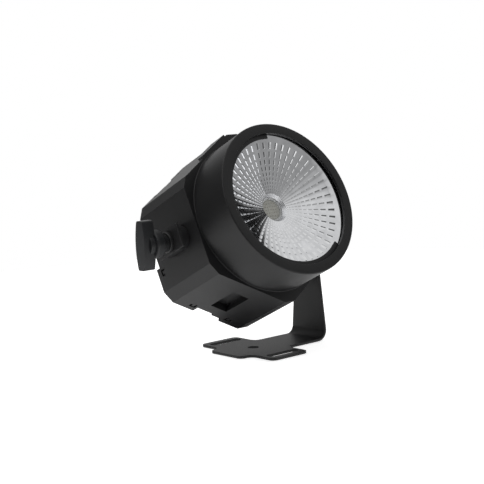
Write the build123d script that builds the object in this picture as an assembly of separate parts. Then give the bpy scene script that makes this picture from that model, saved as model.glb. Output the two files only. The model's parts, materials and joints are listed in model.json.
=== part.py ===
"""Par can stage light: a hexagonal head on a one-legged bracket, with a faceted reflector
around one chip-on-board LED, a fan-cooled heat sink and a recessed rear connection panel.

Row frame: +Z up, origin at the centre of the base plate's mounting hole, on the underside.
The bracket's leg stands on +X and the beam leaves towards -Y, tilted up.

Everything in the head is drawn in the lens frame: origin on the lens axis at the front wall,
x to the leg's side, y up, z forward along the beam.  to_head() tilts it into the row frame.
"""
import math
import os

from build123d import *

# ---------------------------------------------------------------- driving dimensions (mm)
# bracket
sheet = 2.5
strip_width = 45.6
strip_end = 35.5
wing_length = 45.0
wing_span = 105.0
wing_corner = 6.0
wing_root_fillet = 6.8
slot_length = 36.7
slot_width = 8.5
slot_spacing = 81.8
mount_hole_diameter = 10.5
bend_radius = 8.0
leg_top_width = 24.0
leg_pivot_hole = 9.0
pivot_height = 114.0

# head
tilt_at_rest = 25.3
head_offset = -10.0
across_flats = 150.0
flat_width = 72.5
body_length = 75.5
shell_wall = 3.0
front_wall = 4.0
front_wall_opening = 100.0
pivot_behind_front = 33.5
lens_rise = 1.7
post_diameter = 8.0
post_screw_depth = 12.0
boss_diameter = 21.0

# marks on the head's faces: pocket, raised pad, scallops and grooves in the rear edge
pocket_depth = 7.0
pocket_from = -54.7
pocket_to = -18.7
pocket_low = -8.2
pocket_high = 9.0
pocket_wall = 2.5
pad_height = 2.0
pad_length = 21.0
pad_end_margin = 3.0
pad_long_to = 4.0
pad_short_to = -12.0
pad_slope_share = 0.4
scallop_half = 14.2
scallop_step = 3.0
scallop_deep = 8.0
scallop_shallow = 5.0
groove_width = 1.8
groove_depth = 2.0
groove_behind = 5.7
groove_inner_at = 17.4
groove_outer_at = 21.9
groove_inner_length = 6.0
groove_outer_length = 4.8

# front bezel, reflector and what holds it
bezel_diameter = 145.2
bezel_bore = 132.0
bezel_length = 44.5
bezel_opening = 126.4
bezel_lip = 3.1
bezel_lip_chamfer = 0.5
bezel_screw_depth = 9.0
bezel_edge_round = 1.2
bezel_foot_fillet = 0.8
ring_thickness = 1.5
ring_opening = 118.6
ring_gap_from = -50.0
ring_gap_to = 88.0
bore_clearance = 0.2
reflector_mouth = 128.8
reflector_throat = 22.0
reflector_skin = 1.2
reflector_flange = 1.5
throat_step = 2.5
bowl_foot_ahead = 5.5
bowl_sag = 1.2
ring_gap_steps = 6
support_wall = 1.6

# LED, heat sink and fan
led_face_ahead = 16.0
emitter_diameter = 18.8
emitter_thickness = 0.6
led_board_side = 28.0
led_board_thickness = 1.5
pad_thickness = 0.5
die_side = 0.6
die_pitch = 2.9
die_height = 0.15
holder_diameter = 46.0
holder_lip = 1.8
holder_screw_across = 36.0
holder_window_gap = 0.6
sink_diameter = 120.0
sink_base = 6.0
fin_envelope = 96.0
fin_thickness = 2.0
fin_pitch = 6.5
fin_length = 30.0
sink_post_circle = 108.0
sink_post_diameter = 9.0
fan_side = 80.0
fan_depth = 15.0
fan_hole_spacing = 71.5
fan_bore = 76.0
fan_hub = 34.0
fan_axle = 3.0
fan_blades = 7
fan_screw = 4.0
fan_arm_width = 5.0
fan_arm_thickness = 2.0
blade_angle = 38.0
blade_chord = 14.0
blade_thickness = 1.4
blade_tip_gap = 1.2
hub_gap = 0.6
axle_clearance = 0.05
axle_short = 3.0

# rear panel and boards
rear_recess = 10.0
rear_panel = 3.0
panel_clearance = 0.2
plate_thickness = 2.0
plate_arm_width = 8.0
board_thickness = 1.6
board_screw_across = 56.0
board_screw_top = 12.0
board_screw_bottom = -24.0
board_margin = 6.0
standoff_height = 4.0
standoff_diameter = 5.5
board_screw = 2.4
control_board_width = 64.0
control_board_height = 44.0
control_board_up = 36.0
pillar_across = 58.0
pillar_pitch = 38.0
pillar_height = 6.4
switch_height = 3.5
switch_gap = 0.1
display_width = 42.0
display_height = 15.0
display_up = 44.0
button_diameter = 7.0
button_clearance = 0.1
button_pitch = 15.0
button_up = 27.0
button_travel = 1.2
dmx_across = 92.0
dmx_down = 6.0
dmx_diameter = 24.0
dmx_depth = 17.0
dmx_flange_width = 26.0
dmx_flange_height = 31.0
dmx_screw_across = 19.0
dmx_screw_up = 12.0
dmx_plug_bore = 19.0
dmx_slot = 1.7
dmx_pin = 2.4
dmx_pin_circle = 7.0
latch_width = 6.0
latch_thickness = 2.8
latch_up = 11.4
latch_well_depth = 8.0
latch_travel = 2.0
power_across = 48.0
power_down = 44.0
power_width = 27.0
power_height = 20.0
power_depth = 16.0
power_flange_width = 40.0
power_flange_height = 24.0
power_screw_across = 34.0
power_cavity_width = 24.0
power_cavity_height = 16.5
power_core_width = 20.5
power_core_height = 13.0
power_key_cut = 6.0
power_pin_width = 2.0
power_pin_height = 4.0
power_pin_across = 7.0
power_pin_step = 2.0
socket_floor = 3.0
flange_thickness = 2.0
vent_width = 3.0
vent_height = 32.0
vent_pitch = 7.0
vent_count = 7
eye_wire = 4.0
eye_opening = 18.0
eye_up = 62.0
eye_foot_width = 42.0
eye_foot_height = 8.0
eye_foot_thickness = 2.0
eye_screw_across = 33.0
eye_screw_head = 4.2
eye_screw_head_height = 1.2

# pivot hardware, the same on both sides
spacer_height = 7.8
spacer_width = 21.8
spacer_ahead = 19.0
spacer_behind = 22.8
washer_diameter = 18.8
washer_thickness = 3.5
washer_rim_round = 1.2
running_gap = 0.05
stud_diameter = 8.0
stud_clearance = 0.05
insert_diameter = 14.0
insert_length = 16.0
knob_bar_length = 44.0
knob_bar_width = 13.4
knob_bar_end_width = 8.0
knob_bar_depth = 11.9
knob_bar_corner = 2.0
knob_face_edge = 0.3
knob_collar_diameter = 25.5
knob_collar_height = 8.5
knob_neck_diameter = 15.0
knob_neck_height = 6.6
knob_hub_diameter = 19.2
knob_hub_height = 6.0
knob_collar_round = 2.0
knob_hub_round = 0.6
stud_cap = 1.5
left_knob_lean = 0.0
right_knob_lean = 10.0

# fasteners
screw_diameter = 3.0
screw_head_diameter = 5.6
screw_head_height = 2.0
screw_clearance = 0.2
screw_recess_width = 0.8
screw_recess_share = 0.7

# ---------------------------------------------------------------- worked-out places
apothem = across_flats / 2
corner_distance = apothem * math.cos(math.radians(30)) + flat_width / 2 * math.sin(math.radians(30))
face_angles = [60 * k for k in range(6)]
corner_angles = [30 + 60 * k for k in range(6)]

bezel_bore_r = bezel_bore / 2
seat_r = bezel_bore_r - bore_clearance
ring_front = bezel_length - bezel_lip
ring_back = ring_front - ring_thickness
flange_back = ring_back - reflector_flange

board_back = led_face_ahead - emitter_thickness - led_board_thickness
sink_front = board_back - pad_thickness
sink_back = sink_front - sink_base
fin_end = sink_back - fin_length
fan_front = fin_end - 1.0
fan_back = fan_front - fan_depth
plate_back = fan_back - plate_thickness
power_board_front = plate_back - standoff_height
power_board_back = power_board_front - board_thickness
board_places = [(x, y) for y in (board_screw_top, board_screw_bottom)
                for x in (-board_screw_across / 2, board_screw_across / 2)]
cover_pillars = [(x, control_board_up + y) for y in (-pillar_pitch / 2, pillar_pitch / 2)
                 for x in (-pillar_across / 2, pillar_across / 2)]
rear_inner = -body_length + rear_recess + rear_panel
rear_outer = rear_inner - rear_panel
control_board_back = rear_inner + pillar_height
control_board_front = control_board_back + board_thickness

pivot_y = -lens_rise
pivot_z = -pivot_behind_front
spacer_top = apothem + spacer_height
leg_inner = head_offset + spacer_top + running_gap
plate_top = spacer_top + sheet + 2 * running_gap
washer_top = plate_top + washer_thickness
neck_top = washer_top + running_gap + knob_neck_height
collar_top = neck_top + knob_collar_height
post_circle = corner_distance - shell_wall - 6.0


# ---------------------------------------------------------------- small helpers
def cyl(diameter, z0, z1, at=(0, 0)):
    """A round bar along z."""
    low = Align.CENTER, Align.CENTER, Align.MIN
    return Pos(at[0], at[1], z0) * Cylinder(diameter / 2, z1 - z0, align=low)


def tube(outer, inner, z0, z1, at=(0, 0)):
    """A round tube along z."""
    return cyl(outer, z0, z1, at) - cyl(inner, z0 - 1, z1 + 1, at)


def block(x0, x1, y0, y1, z0, z1):
    """A box given by its faces."""
    low = Align.MIN, Align.MIN, Align.MIN
    return Pos(x0, y0, z0) * Box(x1 - x0, y1 - y0, z1 - z0, align=low)


def slab(width, height, z0, z1, at=(0, 0)):
    """A rectangular plate square to z, centred on at."""
    low = Align.CENTER, Align.CENTER, Align.MIN
    return Pos(at[0], at[1], z0) * Box(width, height, z1 - z0, align=low)


def xcyl(diameter, x0, x1, y=None, z=None):
    """A round bar along x, on the pivot axis unless told otherwise."""
    y = pivot_y if y is None else y
    z = pivot_z if z is None else z
    low = Align.CENTER, Align.CENTER, Align.MIN
    return Pos(x0, y, z) * Rot(0, 90, 0) * Cylinder(diameter / 2, x1 - x0, align=low)


def hexagon(inset, z0, z1):
    """The head's section, a hexagon with cut corners, moved in by inset."""
    flat = apothem - inset
    corner = corner_distance - inset
    half = (corner - flat * math.cos(math.radians(30))) / math.sin(math.radians(30))
    points = []
    for angle in face_angles:
        a = math.radians(angle)
        for side in (-half, half):
            points.append((flat * math.cos(a) - side * math.sin(a),
                           flat * math.sin(a) + side * math.cos(a)))
    return extrude(Pos(0, 0, z0) * make_face(Polyline(*points, close=True)), z1 - z0)


def on_face(shape, angle):
    """Turns something drawn on the +x face round to the face at an angle."""
    return Rot(0, 0, angle) * shape


def around(radius, angles):
    """Points on a circle."""
    return [(radius * math.cos(math.radians(a)), radius * math.sin(math.radians(a))) for a in angles]


def join(shapes):
    """One shape made of overlapping shapes."""
    result = shapes[0]
    for shape in shapes[1:]:
        result = result + shape
    return result


def group(shapes):
    """Separate solids that share one node."""
    solids = []
    for shape in shapes:
        solids.extend(shape.solids())
    return Compound(children=solids)


def screw(head_z, length, at, toward=1, diameter=screw_diameter):
    """A pan-head screw along z, its head's seat at head_z and its shank pointing toward +z or -z."""
    head = screw_head_diameter * diameter / screw_diameter
    slot = head * screw_recess_share
    if toward > 0:
        low, high = head_z - screw_head_height, head_z - screw_head_height / 2
        body = cyl(head, low, head_z, at) + cyl(diameter, head_z, head_z + length, at)
    else:
        low, high = head_z + screw_head_height / 2, head_z + screw_head_height
        body = cyl(head, head_z, high, at) + cyl(diameter, head_z - length, head_z, at)
    recess = slab(screw_recess_width, slot, low, high, at)
    return body - recess - slab(slot, screw_recess_width, low, high, at)


def to_head(shape):
    """From the lens frame into the row frame, at the rest tilt."""
    place = Location((head_offset, 0, pivot_height)) * Rotation(-tilt_at_rest, 0, 0)
    lens = Location((0, -pivot_behind_front, lens_rise)) * Rotation(90, 0, 0)
    return place * lens * shape


def other_side(shape):
    """The mirror image on the -x side."""
    return mirror(shape, about=Plane.YZ)


# ---------------------------------------------------------------- bracket
def bracket():
    """Flat base with two slotted wings, bent up into one tapering leg."""
    bend_start = leg_inner - bend_radius
    outer_r = bend_radius + sheet
    outline = Pos((bend_start - strip_end) / 2, 0) * Rectangle(bend_start + strip_end, strip_width)
    outline = outline + Rectangle(wing_length, wing_span)
    outer, inner = [], []
    for v in outline.vertices():
        if abs(v.Y) > strip_width / 2 + 1 or v.X < -wing_length / 2 - 1:
            outer.append(v)
        elif v.X < bend_start - 1:
            inner.append(v)
    outline = fillet(outer, wing_corner)
    inner = [v for v in outline.vertices()
             if abs(abs(v.X) - wing_length / 2) < 0.01 and abs(abs(v.Y) - strip_width / 2) < 0.01]
    stub_edge = strip_end - wing_length / 2 - wing_corner
    outline = fillet(inner, min(wing_root_fillet, 0.97 * stub_edge))
    plate = extrude(outline, sheet)
    bend = Pos(bend_start, 0, outer_r) * Rot(90, 0, 0) * (
        Cylinder(outer_r, strip_width) - Cylinder(bend_radius, strip_width + 2))
    bend = bend & block(bend_start, bend_start + outer_r + 1, -strip_width, strip_width, -1, outer_r)
    leg_top = pivot_height + leg_top_width
    leg = block(leg_inner, leg_inner + sheet, -strip_width, strip_width, outer_r, leg_top)
    half, top = strip_width / 2, leg_top_width / 2
    side = make_face(Polyline((-half, outer_r), (half, outer_r), (top, pivot_height),
                              (-top, pivot_height), close=True))
    side = side + Pos(0, pivot_height) * Circle(top)
    leg = leg & (Plane.YZ.offset(leg_inner - 1) * extrude(side, sheet + 2))
    body = plate + bend + leg
    body = body - cyl(mount_hole_diameter, -1, sheet + 1)
    for y in (-slot_spacing / 2, slot_spacing / 2):
        body = body - extrude(Pos(0, y, -1) * SlotOverall(slot_length, slot_width), sheet + 2)
    return body - xcyl(leg_pivot_hole, leg_inner - 1, leg_inner + sheet + 1, 0, pivot_height)


# ---------------------------------------------------------------- head shells
def hook_grooves():
    """Two hook-shaped blind grooves beside the scallop, on the +x face."""
    x0, x1 = apothem - groove_depth, apothem + 1
    back, half = -body_length + groove_behind, groove_width / 2
    cuts = []
    for side in (-1, 1):
        for along, length in ((groove_inner_at, groove_inner_length),
                              (groove_outer_at, groove_outer_length)):
            y = side * along
            cuts.append(block(x0, x1, y - half, y + half, back, back + length))
        low, high = sorted((side * (groove_inner_at - half), side * (groove_outer_at + half)))
        cuts.append(block(x0, x1, low, high, back, back + groove_width))
    return join(cuts)


def scallop():
    """The stepped finger cut in the rear edge, on the +x face."""
    x0, x1 = apothem - shell_wall - 1, apothem + 1
    deep = block(x0, x1, -scallop_half, scallop_step, -body_length - 1, -body_length + scallop_deep)
    return deep + block(x0, x1, 0, scallop_half, -body_length - 1, -body_length + scallop_shallow)


def main_housing():
    """Hexagonal moulded shell with its front wall, posts, insert bosses and recess."""
    shell = hexagon(0, -body_length, 0) - hexagon(shell_wall, -body_length - 1, -front_wall)
    shell = shell - cyl(front_wall_opening, -front_wall - 1, 1)
    for i, at in enumerate(around(post_circle, corner_angles)):
        end = rear_inner if i % 2 else fan_back
        shell = shell + cyl(post_diameter, end, -front_wall, at)
        shell = shell - cyl(screw_diameter, end - 0.01, end + post_screw_depth, at)
    for side in (1, -1):
        boss = xcyl(boss_diameter, apothem - insert_length, apothem - shell_wall / 2)
        bore = xcyl(insert_diameter, apothem - insert_length - 1, apothem + 1)
        if side < 0:
            boss, bore = other_side(boss), other_side(bore)
        shell = shell + boss - bore
    depth = apothem - pocket_depth
    liner = block(depth - pocket_wall, apothem - shell_wall / 2, pocket_low - pocket_wall,
                  pocket_high + pocket_wall, pocket_from - pocket_wall, pocket_to + pocket_wall)
    pocket = block(depth, apothem + 1, pocket_low, pocket_high, pocket_from, pocket_to)
    shell = shell + on_face(liner, 240) - on_face(pocket, 240)
    pad_edge = flat_width / 2 - pad_end_margin
    slope_from = -pad_length * pad_slope_share
    pad = make_face(Polyline((-pad_edge, 0), (pad_long_to, 0), (pad_long_to, slope_from),
                             (pad_short_to, -pad_length), (-pad_edge, -pad_length), close=True))
    pad = Plane((apothem - 1, 0, 0), x_dir=(0, 1, 0), z_dir=(1, 0, 0)) * extrude(pad, 1 + pad_height)
    shell = shell + on_face(pad, 120)
    for angle in face_angles:
        shell = shell - on_face(scallop(), angle) - on_face(hook_grooves(), angle)
    places = around(sink_post_circle / 2, corner_mid_angles())
    for at in places + around(bezel_screw_circle(), bezel_angles()):
        shell = shell - cyl(screw_diameter + screw_clearance, -front_wall - 1, 1, at)
    return shell


def corner_mid_angles():
    """Where the heat sink's four posts stand."""
    return [45, 135, 225, 315]


def bezel_angles():
    """Where the bezel's six screws stand."""
    return [15 + 60 * k for k in range(6)]


def bezel_screw_circle():
    """Radius of the bezel's screws, in the middle of its wall."""
    return (bezel_diameter + bezel_bore) / 4


def front_bezel():
    """Round barrel with a lip at the front that keeps the optics in."""
    outer, bore, opening = bezel_diameter / 2, bezel_bore_r, bezel_opening / 2
    e, f = bezel_edge_round, bezel_foot_fillet
    c = 1 - math.sqrt(0.5)
    profile = [Line((bore, 0), (outer + f, 0)),
               ThreePointArc((outer + f, 0), (outer + f * c, f * c), (outer, f)),
               Line((outer, f), (outer, bezel_length - e)),
               ThreePointArc((outer, bezel_length - e), (outer - e * c, bezel_length - e * c),
                             (outer - e, bezel_length)),
               Polyline((outer - e, bezel_length), (opening + bezel_lip_chamfer, bezel_length),
                        (opening, bezel_length - bezel_lip_chamfer), (opening, ring_front),
                        (bore, ring_front), (bore, 0))]
    body = revolve(Plane.XZ * make_face(profile), Axis.Z)
    for at in around(bezel_screw_circle(), bezel_angles()):
        body = body - cyl(screw_diameter, -1, bezel_screw_depth, at)
    return body


def bezel_screws():
    """Six screws from behind the front wall into the bezel."""
    return group([screw(-front_wall, 12, at) for at in around(bezel_screw_circle(), bezel_angles())])


# ---------------------------------------------------------------- optics
def retaining_ring():
    """Flat ring behind the bezel's lip, open over one sector."""
    ring = tube(2 * seat_r, ring_opening, ring_back, ring_front)
    reach = 2 * bezel_bore
    step = (ring_gap_to - ring_gap_from) / ring_gap_steps
    angles = [ring_gap_from + step * k for k in range(ring_gap_steps + 1)]
    wedge = make_face(Polyline((0, 0), *around(reach, angles), close=True))
    return ring - extrude(Pos(0, 0, ring_back - 1) * wedge, ring_thickness + 2)


def bowl_height(r, offset=0.0):
    """Height of the reflector's inside at a radius: a shallow dish, nearly a cone."""
    throat, mouth = reflector_throat / 2 + throat_step, reflector_mouth / 2
    low, high = led_face_ahead + bowl_foot_ahead, ring_back
    share = (r - throat) / (mouth - throat)
    return low + (high - low) * share - bowl_sag * 4 * share * (1 - share) - offset


def reflector():
    """Thin dish with a throat collar round the LED and a flange at the mouth."""
    throat, mouth = reflector_throat / 2, reflector_mouth / 2
    foot = throat + throat_step
    base = led_face_ahead + holder_lip - emitter_thickness
    mid = (foot + mouth) / 2
    under = seat_r - support_wall - bore_clearance
    skin = reflector_skin
    profile = [Polyline((throat, base), (throat, base + 1.5), (foot, bowl_height(foot))),
               ThreePointArc((foot, bowl_height(foot)), (mid, bowl_height(mid)),
                             (mouth, bowl_height(mouth))),
               Polyline((mouth, ring_back), (seat_r, ring_back), (seat_r, flange_back),
                        (under, flange_back)),
               ThreePointArc((under, flange_back), (mid + 0.4, bowl_height(mid, skin)),
                             (foot + 0.6, bowl_height(foot, skin))),
               Polyline((foot + 0.6, bowl_height(foot, skin)), (throat + skin, base + 1.2),
                        (throat + skin, base), (throat, base))]
    return revolve(Plane.XZ * make_face(profile), Axis.Z)


def reflector_support():
    """Tube inside the bezel that presses the reflector's flange forward."""
    return tube(2 * seat_r, 2 * (seat_r - support_wall), 0, flange_back)


def led_board():
    """Square board that carries the LED array."""
    return slab(led_board_side, led_board_side, board_back, board_back + led_board_thickness)


def led_emitter():
    """Round clear-coated window of the array."""
    return cyl(emitter_diameter, led_face_ahead - emitter_thickness, led_face_ahead)


def led_dies():
    """The single chips of the array, on a square grid inside the round window."""
    reach = emitter_diameter / 2 - 1.2 * die_side
    count, top = int(reach / die_pitch), led_face_ahead + die_height
    chips = []
    for i in range(-count, count + 1):
        for j in range(-count, count + 1):
            x, y = i * die_pitch, j * die_pitch
            if math.hypot(x, y) < reach:
                chips.append(slab(die_side, die_side, led_face_ahead, top, (x, y)))
    return group(chips)


def thermal_pad():
    """Soft pad between board and heat sink."""
    return slab(led_board_side, led_board_side, sink_front, board_back)


def led_holder():
    """Round frame that clamps the LED board down and carries the reflector's throat."""
    top = led_face_ahead + holder_lip - emitter_thickness
    body = cyl(holder_diameter, sink_front, top)
    body = body - slab(led_board_side, led_board_side, sink_front - 1, board_back + led_board_thickness)
    body = body - cyl(emitter_diameter + 2 * holder_window_gap, sink_front, top + 1)
    for x in (-holder_screw_across / 2, holder_screw_across / 2):
        body = body - cyl(screw_diameter + screw_clearance, sink_front - 1, top + 1, (x, 0))
    return body


def holder_screws():
    """Two screws that fix the LED holder to the heat sink."""
    top = led_face_ahead + holder_lip - emitter_thickness
    return group([screw(top, 8, (x, 0), -1) for x in (-holder_screw_across / 2, holder_screw_across / 2)])


# ---------------------------------------------------------------- cooling
def heat_sink():
    """Round aluminium base on four posts, with straight fins behind."""
    body = cyl(sink_diameter, sink_back, sink_front)
    fins = []
    count = int((fin_envelope / 2 - fin_thickness) / fin_pitch)
    for k in range(-count, count + 1):
        fins.append(slab(fin_thickness, fin_envelope, fin_end, sink_back + 0.5, (k * fin_pitch, 0)))
    body = body + (join(fins) & cyl(fin_envelope, fin_end, sink_back + 0.5))
    for at in around(sink_post_circle / 2, corner_mid_angles()):
        body = body + cyl(sink_post_diameter, 0, sink_back + 0.5, at)
        body = body - cyl(screw_diameter, -1, sink_back + 2, at)
    for x in (-holder_screw_across / 2, holder_screw_across / 2):
        body = body - cyl(screw_diameter, sink_front - sink_base + 0.4, sink_front + 1, (x, 0))
    return body


def heat_sink_screws():
    """Four screws from behind the front wall into the heat sink's posts."""
    length = front_wall + sink_back
    return group([screw(-front_wall, length, at)
                  for at in around(sink_post_circle / 2, corner_mid_angles())])


def fan_corners():
    """The fan's four screw places."""
    half = fan_hole_spacing / 2
    return [(x, y) for x in (-half, half) for y in (-half, half)]


def fan_frame():
    """Square fan frame with three arms that carry the motor seat and its axle."""
    body = slab(fan_side, fan_side, fan_back, fan_front) - cyl(fan_bore, fan_back - 1, fan_front + 1)
    top = fan_back + fan_arm_thickness
    arm = block(0, fan_bore / 2 + 1, -fan_arm_width / 2, fan_arm_width / 2, fan_back, top)
    arms = [Rot(0, 0, 120 * k + 30) * arm for k in range(3)]
    body = body + cyl(fan_hub, fan_back, top) + join(arms)
    body = body + cyl(fan_axle, fan_back, fan_front - axle_short)
    for at in fan_corners():
        body = body - cyl(fan_screw, fan_back - 1, fan_front + 1, at)
    return body


def fan_rotor():
    """Hub cup with slanted blades, turning on the axle."""
    low, high = fan_back + fan_arm_thickness + hub_gap, fan_front - 2
    hub = cyl(fan_hub, low, high)
    reach = fan_bore / 2 - blade_tip_gap
    root = fan_hub / 2 - blade_thickness
    blade = Box(reach - root, blade_chord, blade_thickness, align=(Align.MIN, Align.CENTER, Align.CENTER))
    blade = Pos(root, 0, (low + high) / 2) * Rot(blade_angle, 0, 0) * blade
    blades = [Rot(0, 0, 360 / fan_blades * k) * blade for k in range(fan_blades)]
    body = hub + (join(blades) & cyl(2 * reach, low, high))
    return body - cyl(fan_axle + 2 * axle_clearance, low - 1,
                      fan_front - axle_short + axle_clearance)


def fan_screws():
    """Four screws that hold the fan to the chassis plate."""
    length = fan_depth - 1 + plate_thickness
    return group([screw(plate_back, length, at, 1, fan_screw) for at in fan_corners()])


# ---------------------------------------------------------------- chassis and electronics
def chassis_plate():
    """Sheet plate across the shell that carries the fan and the power board."""
    plate = hexagon(shell_wall + 0.5, plate_back, fan_back)
    plate = plate - cyl(fan_bore - 4, plate_back - 1, fan_back + 1)
    for side in (1, -1):
        low, high = sorted((side * (apothem - insert_length - 1.5), side * across_flats))
        plate = plate - block(low, high, pivot_y - boss_diameter / 2 - 1, pivot_y + boss_diameter / 2 + 1,
                              plate_back - 1, fan_back + 1)
    around_pocket = pocket_wall + 0.5
    notch = block(apothem - pocket_depth - around_pocket, across_flats, pocket_low - around_pocket,
                  pocket_high + around_pocket, plate_back - 1, fan_back + 1)
    plate = plate - on_face(notch, 240)
    for y in (board_screw_bottom, board_screw_top):
        plate = plate + slab(fan_bore + 2, plate_arm_width, plate_back, fan_back, (0, y))
    for at in fan_corners():
        plate = plate - cyl(fan_screw + screw_clearance, plate_back - 1, fan_back + 1, at)
    for i, at in enumerate(around(post_circle, corner_angles)):
        hole = post_diameter + 1.0 if i % 2 else screw_diameter + screw_clearance
        plate = plate - cyl(hole, plate_back - 1, fan_back + 1, at)
    for at in board_places:
        plate = plate - cyl(screw_diameter, plate_back - 1, fan_back + 1, at)
    return plate


def chassis_screws():
    """Three screws into the short posts."""
    places = [at for i, at in enumerate(around(post_circle, corner_angles)) if i % 2 == 0]
    return group([screw(plate_back, 10, at) for at in places])


def board_standoffs():
    """Brass spacers under the power board, with studs through the plate."""
    return group([cyl(standoff_diameter, power_board_front, plate_back, at)
                  + cyl(screw_diameter, plate_back, fan_back, at)
                  + cyl(board_screw, power_board_back, power_board_front, at) for at in board_places])


def power_board():
    """Circuit board of the LED supply."""
    half = board_screw_across / 2 + board_margin
    board = block(-half, half, board_screw_bottom - board_margin, board_screw_top + board_margin,
                  power_board_back, power_board_front)
    for at in board_places:
        board = board - cyl(board_screw, power_board_back - 1, power_board_front + 1, at)
    return board


def power_parts():
    """Transformer, choke, capacitors and a small heat spreader on the power board."""
    z = power_board_back
    parts = [slab(20, 17, z - 13, z, (-10, -6)), slab(10, 12, z - 9, z, (12, -20)),
             cyl(12, z - 14, z, (20, 6)), cyl(8, z - 11, z, (9, 8)), cyl(8, z - 11, z, (-26, -6)),
             slab(3, 18, z - 10, z, (30.5, -8)), slab(8, 5, z - 6, z, (-22, -22)),
             slab(14, 5, z - 5, z, (4, 14.5)), slab(9, 9, z - 3, z, (-24, 4))]
    return group(parts)


def control_board():
    """Circuit board behind the display and the buttons."""
    board = slab(control_board_width, control_board_height, control_board_back, control_board_front,
                 (0, control_board_up))
    for at in cover_pillars:
        board = board - cyl(board_screw, control_board_back - 1, control_board_front + 1, at)
    return board


def control_board_screws():
    """Four small screws that hold the control board to the rear cover's pillars."""
    return group([cyl(4.2, control_board_front, control_board_front + 1.4, at)
                  + cyl(board_screw, control_board_back - 4, control_board_front, at)
                  for at in cover_pillars])


def button_places():
    """The four menu buttons, left to right as seen from the front."""
    return [((k - 1.5) * button_pitch, button_up) for k in range(4)]


def button_switches():
    """Tact switches under the buttons."""
    top = rear_inner + switch_height
    return group([slab(6, 6, top + 1, control_board_back, at) + cyl(3.4, top, top + 1, at)
                  for at in button_places()])


def menu_button(index):
    """Cap with a collar behind the panel and a short stem that reaches for its switch."""
    at = button_places()[index]
    top = rear_inner + switch_height
    body = cyl(button_diameter, rear_outer - 2.0, rear_inner + 0.2, at)
    body = body + cyl(button_diameter + 2.4, rear_inner + 0.2, rear_inner + 1.6, at)
    return body + cyl(3.0, rear_inner + 1.6, top - button_travel - switch_gap, at)


def display_module():
    """Glass display on the control board."""
    at = (0, display_up)
    return slab(display_width - 2, display_height - 1, rear_inner + 0.2, control_board_back, at)


def display_window():
    """Clear window set into the rear cover."""
    at = (0, display_up)
    return slab(display_width, display_height, rear_outer, rear_inner - 0.8, at)


# ---------------------------------------------------------------- rear panel
def socket_places(across, down):
    """A left and a right place below the lens axis."""
    return [(-across / 2, -down), (across / 2, -down)]


def rear_cover():
    """Recessed rear panel with every opening for sockets, display, buttons and air."""
    body = hexagon(shell_wall + panel_clearance, rear_outer, rear_inner)
    for i, at in enumerate(around(post_circle, corner_angles)):
        if i % 2:
            body = body - cyl(screw_diameter + screw_clearance, rear_outer - 1, rear_inner + 1, at)
    at = (0, display_up)
    body = body - slab(display_width, display_height, rear_outer - 1, rear_inner - 0.8, at)
    body = body - slab(display_width - 3, display_height - 3, rear_outer - 1, rear_inner + 1, at)
    for at in button_places():
        body = body - cyl(button_diameter + 2 * button_clearance, rear_outer - 1, rear_inner + 1, at)
    for at in socket_places(dmx_across, dmx_down):
        body = body - cyl(dmx_diameter + 2 * panel_clearance, rear_outer - 1, rear_inner + 1, at)
    for at in socket_places(power_across, power_down):
        body = body - slab(power_width + 2 * panel_clearance, power_height + 2 * panel_clearance,
                           rear_outer - 1, rear_inner + 1, at)
    for k in range(vent_count):
        x = (k - (vent_count - 1) / 2) * vent_pitch
        slot = Pos(x, -6, rear_outer - 1) * Rot(0, 0, 90) * SlotOverall(vent_height, vent_width)
        body = body - extrude(slot, rear_panel + 2)
    x, y = latch_place()
    body = body - slab(latch_width + 1.0, latch_thickness + 1.2, rear_outer - 1, rear_inner + 1, (x, y))
    for at in cover_pillars:
        body = body + cyl(standoff_diameter, rear_inner, control_board_back, at)
        body = body - cyl(board_screw, control_board_back - 4, control_board_back + 1, at)
    for at in socket_screw_places() + eye_screw_places():
        body = body - cyl(screw_diameter, rear_outer - 1, rear_inner + 1, at)
    return body


def rear_cover_screws():
    """Three screws into the long posts."""
    places = [at for i, at in enumerate(around(post_circle, corner_angles)) if i % 2]
    return group([screw(rear_outer, 12, at) for at in places])


def socket_screw_places():
    """Two screws across each socket's flange."""
    places = []
    for x, y in socket_places(dmx_across, dmx_down):
        across = dmx_screw_across / 2
        places += [(x - across, y + dmx_screw_up), (x + across, y - dmx_screw_up)]
    for x, y in socket_places(power_across, power_down):
        places += [(x - power_screw_across / 2, y), (x + power_screw_across / 2, y)]
    return places


def socket_screws():
    """Screws of the two data sockets and the two mains sockets."""
    return group([screw(rear_outer - flange_thickness, 8, at) for at in socket_screw_places()])


def drilled(body, places):
    """Screw holes through a socket's flange."""
    hole = screw_diameter + screw_clearance
    for at in places:
        body = body - cyl(hole, rear_outer - flange_thickness - 1, rear_outer + 1, at)
    return body


def dmx_shell(at):
    """Flange and barrel shared by both data sockets."""
    body = slab(dmx_flange_width, dmx_flange_height, rear_outer - flange_thickness, rear_outer, at)
    return body + cyl(dmx_diameter, rear_outer, rear_outer + dmx_depth, at)


def dmx_pin_places(at):
    """Three contacts of a data socket."""
    return [(at[0] + x, at[1] + y) for x, y in around(dmx_pin_circle / 2, (30, 150, 270))]


def dmx_input():
    """Male data socket: open cup with three pins inside."""
    at = socket_places(dmx_across, dmx_down)[0]
    cup = cyl(dmx_plug_bore, rear_outer - flange_thickness - 1, rear_outer + dmx_depth - socket_floor, at)
    return drilled(dmx_shell(at) - cup, socket_screw_places()[0:2])


def dmx_input_pins():
    """Contact pins of the male data socket."""
    at = socket_places(dmx_across, dmx_down)[0]
    floor = rear_outer + dmx_depth - socket_floor
    return group([cyl(dmx_pin, rear_outer + 3, floor, place) for place in dmx_pin_places(at)])


def latch_place():
    """Centre of the release latch, above the female socket's contacts."""
    x, y = socket_places(dmx_across, dmx_down)[1]
    return x, y + latch_up


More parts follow.
